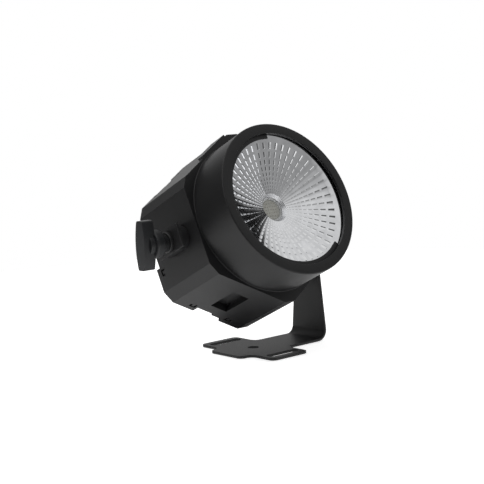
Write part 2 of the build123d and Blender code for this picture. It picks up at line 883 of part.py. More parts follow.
def dmx_output():
    """Female data socket: round insert with three contact holes and a release latch above."""
    at = socket_places(dmx_across, dmx_down)[1]
    outer = rear_outer - flange_thickness
    floor = rear_outer + dmx_depth - socket_floor
    body = dmx_shell(at) - tube(dmx_plug_bore, dmx_plug_bore - 2 * dmx_slot, outer - 1, floor, at)
    for place in dmx_pin_places(at):
        body = body - cyl(dmx_pin + screw_clearance, outer - 1, floor, place)
    well = slab(latch_width + 0.4, latch_thickness + 0.4, outer - 1, rear_outer + latch_well_depth,
                latch_place())
    return drilled(body - well, socket_screw_places()[2:4])


def dmx_output_latch():
    """Spring-loaded thumb latch of the female socket."""
    outer = rear_outer - flange_thickness
    end = rear_outer + latch_well_depth - latch_travel - 0.4
    return slab(latch_width, latch_thickness, outer - 1.6, end, latch_place())


def power_shell(at):
    """Flange and body shared by both mains sockets."""
    body = slab(power_flange_width, power_flange_height, rear_outer - flange_thickness, rear_outer, at)
    return body + slab(power_width, power_height, rear_outer, rear_outer + power_depth, at)


def power_inlet():
    """Mains inlet with an open cavity round its three pins."""
    at = socket_places(power_across, power_down)[0]
    cavity = plug_hollow(at, rear_outer + power_depth - socket_floor)
    return drilled(power_shell(at) - cavity, socket_screw_places()[4:6])


def plug_hollow(at, floor):
    """Hollow that takes a mains plug, keyed by two cut corners."""
    outer = rear_outer - flange_thickness - 1
    hollow = slab(power_cavity_width, power_cavity_height, outer, floor, at)
    for side in (-1, 1):
        corner = Pos(at[0] + side * power_cavity_width / 2, at[1] + power_cavity_height / 2, outer)
        low = Align.CENTER, Align.CENTER, Align.MIN
        key = Box(power_key_cut, power_key_cut, power_depth + 2, align=low)
        hollow = hollow - corner * Rot(0, 0, 45) * key
    return hollow


def power_pin_places(at):
    """Three flat contacts of a mains socket."""
    x, y = power_pin_across, power_pin_step
    return [(at[0] - x, at[1] - y), (at[0], at[1] + y), (at[0] + x, at[1] - y)]


def power_inlet_pins():
    """Flat contact pins of the mains inlet."""
    at = socket_places(power_across, power_down)[0]
    floor = rear_outer + power_depth - socket_floor
    return group([slab(power_pin_width, power_pin_height, rear_outer + 3, floor, place)
                  for place in power_pin_places(at)])


def power_outlet():
    """Mains outlet: solid insert with three flat contact slots."""
    at = socket_places(power_across, power_down)[1]
    outer, floor = rear_outer - flange_thickness, rear_outer + power_depth - socket_floor
    core = slab(power_core_width, power_core_height, outer - 2, floor + 1, at)
    body = power_shell(at) - (plug_hollow(at, floor) - core)
    for place in power_pin_places(at):
        body = body - slab(power_pin_width + screw_clearance, power_pin_height + screw_clearance,
                           outer - 1, floor, place)
    return drilled(body, socket_screw_places()[6:8])


def eye_screw_places():
    """Two screws of the safety eye."""
    return [(-eye_screw_across / 2, eye_up), (eye_screw_across / 2, eye_up)]


def safety_eye():
    """Steel loop for a safety cable, on a foot screwed to the rear panel."""
    seat = rear_outer - eye_foot_thickness
    foot = slab(eye_foot_width, eye_foot_height, seat, rear_outer, (0, eye_up))
    for at in eye_screw_places():
        foot = foot - cyl(screw_diameter + screw_clearance, seat - 1, rear_outer + 1, at)
    centre_r = (eye_opening + eye_wire) / 2
    loop = Pos(0, eye_up, seat + 0.5) * Rot(90, 0, 0) * Torus(centre_r, eye_wire / 2)
    return foot + (loop & slab(60, 30, seat - 30, seat + 0.5, (0, eye_up)))


def eye_screws():
    """Two screws that hold the safety eye."""
    seat = rear_outer - eye_foot_thickness
    return group([cyl(eye_screw_head, seat - eye_screw_head_height, seat, at)
                  + cyl(screw_diameter, seat, rear_outer + 8, at) for at in eye_screw_places()])


# ---------------------------------------------------------------- pivot hardware, drawn on the +x side
def spacer_outline():
    """Pill-shaped outline along the beam, centred between its two ends."""
    length = spacer_ahead + spacer_behind
    return length, (spacer_ahead - spacer_behind) / 2


def along_x(sketch, x0, thickness):
    """A flat shape drawn with its length along the beam, set square to x on the pivot axis."""
    plane = Plane((x0, pivot_y, pivot_z), x_dir=(0, 0, 1), z_dir=(1, 0, 0))
    return plane * extrude(sketch, thickness)


def spacer():
    """Pad between the head's side and the steel."""
    length, shift = spacer_outline()
    body = along_x(Pos(shift, 0) * SlotOverall(length, spacer_width), apothem, spacer_height)
    return body - xcyl(leg_pivot_hole, apothem - 1, spacer_top + 1)


def clamp_plate():
    """Short steel plate under the free knob, as thick as the bracket's leg."""
    length, shift = spacer_outline()
    outline = fillet((Pos(shift, 0) * Rectangle(length, spacer_width)).vertices(), 0.8)
    body = along_x(outline, spacer_top, sheet + 2 * running_gap)
    return body - xcyl(leg_pivot_hole, spacer_top - 1, plate_top + 1)


def insert():
    """Threaded brass insert in the head's side."""
    return (xcyl(insert_diameter, apothem - insert_length, apothem)
            - xcyl(stud_diameter + 2 * stud_clearance, apothem - insert_length - 1, apothem + 1))


def washer():
    """Thick washer with a rounded outer rim."""
    body = xcyl(washer_diameter, plate_top, washer_top)
    body = fillet(body.edges().filter_by(GeomType.CIRCLE).sort_by(Axis.X)[-1:], washer_rim_round)
    return body - xcyl(stud_diameter + 0.6, plate_top - 1, washer_top + 1)


def stud():
    """Steel stud moulded into the knob and screwed into the insert."""
    end = collar_top + knob_hub_height - stud_cap
    return xcyl(stud_diameter, apothem - insert_length + 2, end - stud_clearance)


def knob(lean):
    """T-bar knob: neck, collar, hub and a lens-shaped bar that leans forward from upright at rest."""
    base = washer_top + running_gap
    half, mid, end = knob_bar_length / 2, knob_bar_width / 2, knob_bar_end_width / 2
    outline = make_face([ThreePointArc((-half, end), (0, mid), (half, end)),
                         Line((half, end), (half, -end)),
                         ThreePointArc((half, -end), (0, -mid), (-half, -end)),
                         Line((-half, -end), (-half, end))])
    outline = fillet(outline.vertices(), knob_bar_corner)
    plane = Plane((collar_top, pivot_y, pivot_z), x_dir=(0, 1, 0), z_dir=(1, 0, 0))
    bar = plane * extrude(outline, knob_bar_depth)
    bar = fillet(bar.faces().sort_by(Axis.X)[-1].edges(), knob_face_edge)
    collar = xcyl(knob_collar_diameter, neck_top, collar_top + 1.0)
    collar = fillet(collar.edges().filter_by(GeomType.CIRCLE), knob_collar_round)
    hub = xcyl(knob_hub_diameter, collar_top, collar_top + knob_hub_height)
    hub = fillet(hub.edges().filter_by(GeomType.CIRCLE).sort_by(Axis.X)[-1:], knob_hub_round)
    body = xcyl(knob_neck_diameter, base, neck_top + 1) + collar + hub + bar
    socket_end = collar_top + knob_hub_height - stud_cap
    body = body - xcyl(stud_diameter + 2 * stud_clearance, base - 1, socket_end)
    pin = Axis((0, pivot_y, pivot_z), (1, 0, 0))
    return body.rotate(pin, tilt_at_rest + lean)


# ---------------------------------------------------------------- the model
def model():
    """Every node by name, in the row frame."""
    parts = {
        "main_housing": main_housing(), "front_bezel": front_bezel(), "bezel_screws": bezel_screws(),
        "retaining_ring": retaining_ring(), "reflector": reflector(),
        "reflector_support": reflector_support(),
        "led_board": led_board(), "led_emitter": led_emitter(), "led_dies": led_dies(),
        "thermal_pad": thermal_pad(), "led_holder": led_holder(), "holder_screws": holder_screws(),
        "heat_sink": heat_sink(), "heat_sink_screws": heat_sink_screws(),
        "fan_frame": fan_frame(), "fan_rotor": fan_rotor(), "fan_screws": fan_screws(),
        "chassis_plate": chassis_plate(), "chassis_screws": chassis_screws(),
        "board_standoffs": board_standoffs(), "power_board": power_board(), "power_parts": power_parts(),
        "control_board": control_board(), "control_board_screws": control_board_screws(),
        "button_switches": button_switches(),
        "display_module": display_module(), "display_window": display_window(),
        "rear_cover": rear_cover(), "rear_cover_screws": rear_cover_screws(),
        "dmx_input": dmx_input(), "dmx_input_pins": dmx_input_pins(),
        "dmx_output": dmx_output(), "dmx_output_latch": dmx_output_latch(),
        "power_inlet": power_inlet(), "power_inlet_pins": power_inlet_pins(),
        "power_outlet": power_outlet(),
        "socket_screws": socket_screws(), "safety_eye": safety_eye(), "eye_screws": eye_screws(),
        "right_insert": insert(), "left_insert": other_side(insert()),
        "right_spacer": spacer(), "left_spacer": other_side(spacer()),
        "right_washer": washer(), "left_washer": other_side(washer()),
        "right_stud": stud(), "left_stud": other_side(stud()),
        "left_clamp_plate": other_side(clamp_plate()),
        "right_knob": knob(right_knob_lean), "left_knob": other_side(knob(left_knob_lean)),
    }
    for index in range(4):
        parts["menu_button_%d" % (index + 1)] = menu_button(index)
    placed = {name: to_head(shape) for name, shape in parts.items()}
    placed["bracket"] = bracket()
    return placed


os.makedirs("parts", exist_ok=True)
for name, shape in model().items():
    export_step(shape, "parts/%s.step" % name)
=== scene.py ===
"""Looks of a compact par can stage light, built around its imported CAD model.

The lens frame is used for everything in the head: origin on the lens axis at the front wall,
x to the bracket leg's side, y up, z forward along the beam, all in millimetres.
"""

import json
import math

import bmesh
import bpy
from mathutils import Euler, Matrix, Vector

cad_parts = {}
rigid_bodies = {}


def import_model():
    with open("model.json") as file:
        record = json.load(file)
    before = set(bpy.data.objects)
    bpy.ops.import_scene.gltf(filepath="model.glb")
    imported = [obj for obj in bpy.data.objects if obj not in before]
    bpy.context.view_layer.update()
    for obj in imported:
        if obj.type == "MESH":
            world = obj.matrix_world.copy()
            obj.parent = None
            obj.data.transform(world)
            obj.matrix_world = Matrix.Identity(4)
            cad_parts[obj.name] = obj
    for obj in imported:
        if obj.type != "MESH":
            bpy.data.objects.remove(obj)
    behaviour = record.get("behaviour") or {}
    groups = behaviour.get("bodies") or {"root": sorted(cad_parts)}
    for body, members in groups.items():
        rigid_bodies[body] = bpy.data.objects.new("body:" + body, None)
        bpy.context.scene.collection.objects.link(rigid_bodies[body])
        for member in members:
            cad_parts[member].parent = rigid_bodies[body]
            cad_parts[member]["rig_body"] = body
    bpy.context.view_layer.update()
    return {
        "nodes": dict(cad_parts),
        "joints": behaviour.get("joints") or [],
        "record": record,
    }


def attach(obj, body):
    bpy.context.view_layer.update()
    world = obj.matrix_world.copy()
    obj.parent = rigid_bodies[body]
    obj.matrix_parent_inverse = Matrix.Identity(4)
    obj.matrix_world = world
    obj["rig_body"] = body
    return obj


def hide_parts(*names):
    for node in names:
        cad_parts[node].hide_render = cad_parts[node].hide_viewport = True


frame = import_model()
JOINTS = {joint["name"]: joint for joint in frame["joints"]}
SLOT_OF = {part["node"]: part["material_slot"] for part in frame["record"]["subparts"]}
MM = 0.001
PER_METRE = 1000.0
BANDS_PER_SCALE = 20

# ---------------------------------------------------------------- the lens frame
LENS_RISE = 1.7
PIVOT_BEHIND_FRONT = 33.5
PIVOT = Vector(JOINTS["head_tilt"]["pos_m"])
BEAM = Vector(JOINTS["fan_spin"]["axis"]).normalized()
ACROSS = Vector((1, 0, 0))
UP = BEAM.cross(ACROSS).normalized()
LENS = Matrix.Translation(PIVOT + (UP * LENS_RISE + BEAM * PIVOT_BEHIND_FRONT) * MM) @ Matrix(
    ((ACROSS.x, UP.x, BEAM.x, 0), (ACROSS.y, UP.y, BEAM.y, 0), (ACROSS.z, UP.z, BEAM.z, 0), (0, 0, 0, 1)))
FROM_MM = LENS @ Matrix.Scale(MM, 4)


# ---------------------------------------------------------------- node helpers
def srgb(code):
    """A colour written as #rrggbb, as linear RGBA."""
    values = [int(code[i:i + 2], 16) / 255 for i in (1, 3, 5)]
    return tuple(v / 12.92 if v <= 0.04045 else ((v + 0.055) / 1.055) ** 2.4 for v in values) + (1.0,)


def add(tree, kind, values=None, wires=None, **settings):
    """Adds one node with its settings, its socket values and the wires that come into it."""
    node = tree.nodes.new(kind)
    for name, value in settings.items():
        setattr(node, name, value)
    for name, value in (values or {}).items():
        node.inputs[name].default_value = value
    for name, source in (wires or {}).items():
        tree.links.new(source, node.inputs[name])
    return node


def finish_material(name, **shader):
    """A material with a Principled shader set to plain numbers; returns it with its tree and shader."""
    material = bpy.data.materials.new(name)
    material.use_nodes = True
    tree = material.node_tree
    tree.nodes.clear()
    surface = add(tree, "ShaderNodeBsdfPrincipled", shader)
    add(tree, "ShaderNodeOutputMaterial", wires={"Surface": surface.outputs["BSDF"]})
    return material, tree, surface


def grain(tree, size_mm, detail=2.0, rough=0.5):
    """Noise whose lumps are about size_mm across, fixed to the object."""
    place = add(tree, "ShaderNodeTexCoord")
    return add(tree, "ShaderNodeTexNoise",
               {"Scale": PER_METRE / size_mm, "Detail": detail, "Roughness": rough},
               {"Vector": place.outputs["Object"]})


def ramp(tree, source, low, high, dark, light):
    """Two colours or two greys spread over part of a pattern's range."""
    node = add(tree, "ShaderNodeValToRGB", wires={"Fac": source})
    node.color_ramp.elements[0].position = low
    node.color_ramp.elements[1].position = high
    node.color_ramp.elements[0].color = dark
    node.color_ramp.elements[1].color = light
    return node.outputs["Color"]


def grey(value):
    """A plain grey as RGBA, for ramps that carry numbers."""
    return (value, value, value, 1.0)


def colour_between(tree, surface, source, dark, light, low=0.3, high=0.7):
    """Lets a pattern move the base colour between two sRGB colours over part of its range."""
    shade = ramp(tree, source, low, high, srgb(dark), srgb(light))
    tree.links.new(shade, surface.inputs["Base Color"])


def roughness_between(tree, surface, source, low, high):
    """Lets a pattern move the roughness between two values."""
    spread = add(tree, "ShaderNodeMapRange", {"To Min": low, "To Max": high}, {"Value": source})
    tree.links.new(spread.outputs["Result"], surface.inputs["Roughness"])


def bump(tree, surface, source, height_mm, strength=1.0):
    """Relief of a real height from a pattern."""
    node = add(tree, "ShaderNodeBump", {"Strength": strength, "Distance": height_mm * MM}, {"Height": source})
    tree.links.new(node.outputs["Normal"], surface.inputs["Normal"])


# ---------------------------------------------------------------- materials
def moulded_plastic(name, dark, light, texture_mm, depth_mm, smooth, rough):
    """Black ABS or nylon from a spark-eroded mould: a fine dull grain over faint flow shading."""
    material, tree, surface = finish_material(name, IOR=1.53)
    surface.inputs["Specular IOR Level"].default_value = 0.28
    flow = grain(tree, 38.0, 3.0)
    fine = grain(tree, texture_mm, 2.0, 0.6)
    colour_between(tree, surface, flow.outputs["Fac"], dark, light, 0.35, 0.65)
    roughness_between(tree, surface, fine.outputs["Fac"], smooth, rough)
    bump(tree, surface, fine.outputs["Fac"], depth_mm, 0.35)
    return material


def powder_coat():
    """Black polyester powder on steel sheet: soft orange peel, matt, a little paler where edges wear."""
    material, tree, surface = finish_material("powder_coated_steel", IOR=1.5)
    surface.inputs["Specular IOR Level"].default_value = 0.3
    peel = grain(tree, 0.9, 1.0)
    edge = add(tree, "ShaderNodeNewGeometry")
    colour_between(tree, surface, edge.outputs["Pointiness"], "#101011", "#303031", 0.5, 0.62)
    roughness_between(tree, surface, peel.outputs["Fac"], 0.42, 0.6)
    bump(tree, surface, peel.outputs["Fac"], 0.06, 0.5)
    return material


def plated_steel(name, light, dark, rough):
    """Zinc-plated or oiled steel: bright metal with cloudy plating."""
    material, tree, surface = finish_material(name, Metallic=1.0)
    cloud = grain(tree, 2.5, 3.0)
    colour_between(tree, surface, cloud.outputs["Fac"], dark, light)
    roughness_between(tree, surface, cloud.outputs["Fac"], rough, rough + 0.16)
    return material


def turned_metal(name, light, dark, groove_mm, rough):
    """Brass or aluminium off a lathe or an extrusion: parallel lines, drawn twenty times coarser to show."""
    material, tree, surface = finish_material(name, Metallic=1.0)
    place = add(tree, "ShaderNodeTexCoord")
    lines = add(tree, "ShaderNodeTexWave",
                {"Scale": PER_METRE / groove_mm / BANDS_PER_SCALE, "Distortion": 1.5, "Detail": 2.0},
                {"Vector": place.outputs["Object"]}, bands_direction="X")
    colour_between(tree, surface, lines.outputs["Fac"], dark, light, 0.1, 0.9)
    roughness_between(tree, surface, lines.outputs["Fac"], rough, rough + 0.12)
    return material


def metallised_plastic():
    """Vacuum-deposited aluminium on a moulded bowl: a bright mirror, a little clouded by the moulding."""
    material, tree, surface = finish_material("metallised_reflector", Metallic=1.0)
    cloud = grain(tree, 9.0, 2.0)
    fine = grain(tree, 1.1, 1.0)
    colour_between(tree, surface, cloud.outputs["Fac"], "#d4d5d7", "#e6e7e9")
    roughness_between(tree, surface, cloud.outputs["Fac"], 0.05, 0.09)
    bump(tree, surface, fine.outputs["Fac"], 0.004, 0.3)
    return material


def facet_mirror():
    """The same coating on the small flat facets, which are polished flatter and so mirror more sharply; its
    colour is set brighter than the bowl's, a painted lift of the facets' reflections.
    """
    material, tree, surface = finish_material("metallised_facets", Metallic=1.0)
    cloud = grain(tree, 4.0, 1.0)
    # painted highlight: facet colours brighter than the bowl's, so the facets' reflections read whiter
    colour_between(tree, surface, cloud.outputs["Fac"], "#e2e3e5", "#eeeff0")
    roughness_between(tree, surface, cloud.outputs["Fac"], 0.03, 0.06)
    return material


def satin_collar():
    """The coating on the throat's grained collar: satin, so it spreads a highlight into a soft crescent; its
    colour is set a little darker than the bowl's, painted shade that dims that highlight.
    """
    material, tree, surface = finish_material("metallised_collar", Metallic=1.0)
    cloud = grain(tree, 2.0, 2.0)
    # painted shade: collar colours darker than the bowl's, to dim the collar's highlight
    colour_between(tree, surface, cloud.outputs["Fac"], "#cccdd0", "#dedfe1")
    roughness_between(tree, surface, cloud.outputs["Fac"], 0.42, 0.55)
    return material


def silicone_over_chips():
    """Clear silicone poured over pale chips: greyish, slightly wet-looking."""
    material, tree, surface = finish_material("silicone_coat", IOR=1.41)
    surface.inputs["Coat Weight"].default_value = 0.6
    surface.inputs["Coat Roughness"].default_value = 0.08
    mottle = grain(tree, 1.3, 2.0)
    colour_between(tree, surface, mottle.outputs["Fac"], "#9a9a93", "#adada5", 0.35, 0.65)
    roughness_between(tree, surface, mottle.outputs["Fac"], 0.25, 0.4)
    return material


def glossy_solid(name, dark, light, speck_mm, rough, ior=1.5):
    """Solder mask, phosphor, white moulding or glass-like plastic: even, with a slight mottle."""
    material, tree, surface = finish_material(name, IOR=ior)
    mottle = grain(tree, speck_mm, 2.0)
    colour_between(tree, surface, mottle.outputs["Fac"], dark, light, 0.35, 0.65)
    roughness_between(tree, surface, mottle.outputs["Fac"], rough, rough + 0.12)
    return material


def clear_acrylic():
    """Clear acrylic window: see-through, glossy, with a faint smoke."""
    material, tree, surface = finish_material("clear_acrylic", IOR=1.49)
    surface.inputs["Transmission Weight"].default_value = 0.9
    haze = grain(tree, 12.0, 1.0)
    colour_between(tree, surface, haze.outputs["Fac"], "#b9c2c4", "#d5dcdd")
    roughness_between(tree, surface, haze.outputs["Fac"], 0.04, 0.08)
    return material


BY_SLOT = {
    "housing_abs": moulded_plastic("abs_housing", "#101011", "#151516", 0.7, 0.05, 0.40, 0.56),
    "bezel_abs": moulded_plastic("abs_bezel", "#0f0f10", "#131314", 0.6, 0.04, 0.36, 0.52),
    "powder_coat": powder_coat(),
    "knob_nylon": moulded_plastic("nylon_knob", "#191a1b", "#202123", 0.5, 0.03, 0.34, 0.48),
    "spacer_nylon": moulded_plastic("nylon_spacer", "#161617", "#1b1b1c", 0.6, 0.04, 0.45, 0.60),
    "washer_nylon": moulded_plastic("nylon_washer", "#19191a", "#1f1f20", 0.5, 0.03, 0.40, 0.55),
    "zinc_steel": plated_steel("zinc_plated_steel", "#b9bcc0", "#8e9196", 0.22),
    "black_screw": plated_steel("blackened_steel", "#3a3a3c", "#232325", 0.35),
    "turned_brass": turned_metal("turned_brass", "#c9a45c", "#a6823f", 0.4, 0.22),
    "metallised_reflector": metallised_plastic(),
    "ring_abs": moulded_plastic("abs_ring", "#131314", "#18181a", 0.6, 0.03, 0.38, 0.52),
    "led_substrate": glossy_solid("white_solder_mask", "#d9dad8", "#e6e7e5", 3.0, 0.3),
    "led_coating": silicone_over_chips(),
    "led_chip": glossy_solid("phosphor_chips", "#33290c", "#5a4a17", 0.8, 0.3),
    "gap_pad": moulded_plastic("silicone_gap_pad", "#7d858c", "#8d959c", 1.2, 0.05, 0.6, 0.75),
    "holder_plastic": glossy_solid("white_pbt", "#c9cac9", "#dcdddc", 6.0, 0.35),
    "extruded_aluminium": turned_metal("mill_aluminium", "#c8cacd", "#a3a6aa", 0.5, 0.28),
    "fan_plastic": moulded_plastic("abs_fan", "#1a1b1d", "#222326", 0.5, 0.02, 0.35, 0.5),
    "galvanised_sheet": plated_steel("galvanised_steel", "#a9adb1", "#7f8388", 0.3),
    "circuit_board": glossy_solid("green_solder_mask", "#0d3a22", "#14502f", 2.0, 0.25),
    "board_parts": glossy_solid("potted_parts", "#1d1e22", "#33353c", 4.0, 0.35),
    "switch_plastic": glossy_solid("black_pbt", "#18181a", "#232326", 2.0, 0.35),
    "display_glass": glossy_solid("dark_display_glass", "#05080c", "#0b1218", 20.0, 0.05, 1.52),
    "window_acrylic": clear_acrylic(),
    "panel_abs": moulded_plastic("abs_panel", "#1a1a1b", "#202021", 0.6, 0.04, 0.42, 0.58),
    "button_rubber": moulded_plastic("silicone_rubber", "#2c2d30", "#35363a", 0.8, 0.02, 0.55, 0.7),
    "socket_nylon": moulded_plastic("nylon_socket", "#141416", "#1b1b1d", 0.5, 0.02, 0.3, 0.45),
    "contact_metal": turned_metal("plated_contacts", "#d6c68e", "#b3a060", 0.3, 0.18),
    "latch_steel": plated_steel("stamped_steel", "#b4b6b9", "#8b8e92", 0.25),
    "eye_steel": plated_steel("zinc_plated_wire", "#8f9195", "#6b6e72", 0.3),
}
FACETS = facet_mirror()
COLLAR = satin_collar()


# ---------------------------------------------------------------- mesh helpers
def piece_from(mesh_name, bm, materials, body, replaced=()):
    """Turns a finished bmesh, in the row frame and metres, into a piece that rides on a body."""
    mesh = bpy.data.meshes.new(mesh_name)
    bmesh.ops.recalc_face_normals(bm, faces=bm.faces)
    bm.to_mesh(mesh)
    bm.free()
    for material in materials:
        mesh.materials.append(material)
    piece = bpy.data.objects.new(mesh_name, mesh)
    bpy.context.scene.collection.objects.link(piece)
    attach(piece, body)
    if replaced:
        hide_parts(*replaced)
    return piece


def bake_modifiers(piece):
    """Applies a piece's modifiers, so that its mesh is the finished shape."""
    evaluated = piece.evaluated_get(bpy.context.evaluated_depsgraph_get())
    mesh = bpy.data.meshes.new_from_object(evaluated)
    piece.modifiers.clear()
    piece.data = mesh


SAME_POINT = 2e-6
FLAT_WITHIN = 0.4
HARD_EDGE = 24.0
SMOOTH_WITHIN = 22.0


def smooth_by_angle(piece, degrees=SMOOTH_WITHIN):
    """Smooth shading that breaks at edges sharper than the angle."""
    piece.data.shade_smooth()
    piece.data.set_sharp_from_angle(angle=math.radians(degrees))


def softened(node, width_mm, segments=2):
    """The CAD node's shape with its hard edges rounded, as a mould or a press leaves them."""
    bm = bmesh.new()
    bm.from_mesh(frame["nodes"][node].data)
    bmesh.ops.remove_doubles(bm, verts=bm.verts, dist=SAME_POINT)
    bmesh.ops.dissolve_limit(bm, angle_limit=math.radians(FLAT_WITHIN), verts=bm.verts, edges=bm.edges)
    body = frame["nodes"][node]["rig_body"]
    slot = SLOT_OF[node]
    piece = piece_from(node + "_moulded", bm, [BY_SLOT[slot]], body, [node])
    bevel = piece.modifiers.new("edges", "BEVEL")
    bevel.width = width_mm * MM
    bevel.segments = segments
    bevel.limit_method = "ANGLE"
    bevel.angle_limit = math.radians(HARD_EDGE)
    bevel.use_clamp_overlap = True
    bake_modifiers(piece)
    smooth_by_angle(piece)
    level = piece.modifiers.new("flat faces", "WEIGHTED_NORMAL")
    level.keep_sharp = True
    bake_modifiers(piece)


def lathe(bm, profile, steps, start=0.0, turn=360.0):
    """Turns a closed outline of (radius, z) points about the lens axis; a part turn gets its two ends."""
    whole = turn >= 360.0
    rings = []
    for k in range(steps if whole else steps + 1):
        a = math.radians(start + turn * k / steps)
        rings.append([bm.verts.new((r * math.cos(a), r * math.sin(a), z)) for r, z in profile])
    pairs = zip(rings, rings[1:] + rings[:1]) if whole else zip(rings, rings[1:])
    count = len(profile)
    for one, two in pairs:
        for i in range(count):
            j = (i + 1) % count
            bm.faces.new((one[i], two[i], two[j], one[j])).smooth = True
    if not whole:
        bm.faces.new(rings[0])
        bm.faces.new(rings[-1])


def rounded(points, steps=4):
    """Rounds the corners of a closed outline of (radius, z, corner radius) points."""
    outline = []
    count = len(points)
    for i, (x, y, r) in enumerate(points):
        here = Vector((x, y))
        before = Vector(points[i - 1][:2]) - here
        after = Vector(points[(i + 1) % count][:2]) - here
        if r <= 0:
            outline.append((x, y))
            continue
        angle = before.angle(after)
        reach = min(r / math.tan(angle / 2), before.length * 0.49, after.length * 0.49)
        start, end = here + before.normalized() * reach, here + after.normalized() * reach
        for k in range(steps + 1):
            t = k / steps
            point = start * (1 - t) ** 2 + here * 2 * t * (1 - t) + end * t ** 2
            outline.append((point.x, point.y))
    return outline


# ---------------------------------------------------------------- front bezel and its ring
BEZEL_LENGTH, BEZEL_R, BEZEL_BORE_R, BEZEL_OPENING_R, BEZEL_LIP = 44.5, 72.6, 66.0, 63.2, 3.1
FOOT = 0.8
FOOT_STEPS = 6
FRONT_ROUND, OPENING_ROUND, LIP_ROUND, BORE_ROUND = 1.5, 0.6, 0.3, 0.2
RING_BACK, RING_FRONT, RING_OUTER_R, RING_INNER_R = 39.9, 41.4, 65.8, 59.3
RING_FROM, RING_TURN = 88.0, 222.0
RING_ROUND, RING_FRONT_ROUND = 0.2, 0.5


def front_bezel():
    """Round barrel: rounded front edge, small foot where it meets the head, lip inside."""
    flare = [(BEZEL_R + FOOT * (1 - math.sin(a)), FOOT * (1 - math.cos(a)))
             for a in (math.radians(90 * k / FOOT_STEPS) for k in range(FOOT_STEPS + 1))]
    lip_back = BEZEL_LENGTH - BEZEL_LIP
    inner = rounded([(BEZEL_R, BEZEL_LENGTH, FRONT_ROUND), (BEZEL_OPENING_R, BEZEL_LENGTH, OPENING_ROUND),
                     (BEZEL_OPENING_R, lip_back, LIP_ROUND), (BEZEL_BORE_R, lip_back, BORE_ROUND),
                     (BEZEL_BORE_R, 0.0, 0.0), (BEZEL_R + FOOT, 0.0, 0.0)])[:-1]
    bm = bmesh.new()
    lathe(bm, flare + inner, 256)
    bm.transform(FROM_MM)
    piece = piece_from("bezel_barrel", bm, [BY_SLOT["bezel_abs"]], "head", ["front_bezel"])
    smooth_by_angle(piece)


def retaining_ring():
    """C-shaped ring, open over one sector, with eased edges."""
    profile = rounded([(RING_INNER_R, RING_BACK, RING_ROUND), (RING_OUTER_R, RING_BACK, RING_ROUND),
                       (RING_OUTER_R, RING_FRONT, RING_ROUND),
                       (RING_INNER_R, RING_FRONT, RING_FRONT_ROUND)], 3)
    bm = bmesh.new()
    lathe(bm, profile, 160, RING_FROM, RING_TURN)
    bm.transform(FROM_MM)
    piece = piece_from("c_ring", bm, [BY_SLOT["ring_abs"]], "head", ["retaining_ring"])
    smooth_by_angle(piece)


# ---------------------------------------------------------------- faceted reflector
SPOKES = 48
ROWS = 10
OUTER_ROW_R = 54.8
ROW_RATIO = 0.8645
FACET_SHARE = 0.33
FACET_LENGTH_SHARE = 0.66
FACET_LEAN = 18.0
THROAT_R, FOOT_R, UNDER_R, MOUTH_R, FLANGE_R = 11.0, 13.5, 64.0, 64.4, 65.8
THROAT_BASE, THROAT_RISE = 17.2, 18.7
BOWL_LOW, BOWL_SAG = 21.5, 1.2
COLLAR_BANDS = 3
SKIN = 1.2
LIP_OUT, LIP_UP, LIP_DOWN = 0.4, 0.3, 0.2
FOOT_WALL = 0.6
FLANGE_THICK = 1.5
MOUTH_EASE = 0.3
FACET_MARGIN = 0.4
PLAIN_COLUMNS = 3


def bowl_z(r):
    """Height of the reflecting surface: nearly a cone, sagging a little in the middle."""
    share = (r - FOOT_R) / (MOUTH_R - FOOT_R)
    return BOWL_LOW + (RING_BACK - BOWL_LOW) * share - BOWL_SAG * 4 * share * (1 - share)


def facet_rows():
    """Inner and outer radius of each row of facets, from the mouth inwards."""
    half = FACET_LENGTH_SHARE * (1 - ROW_RATIO) / 2 / ROW_RATIO ** 0.5
    centres = [OUTER_ROW_R * ROW_RATIO ** k for k in range(ROWS)]
    return [(r * (1 - half), r * (1 + half)) for r in centres if r * (1 - half) > FOOT_R + FACET_MARGIN]


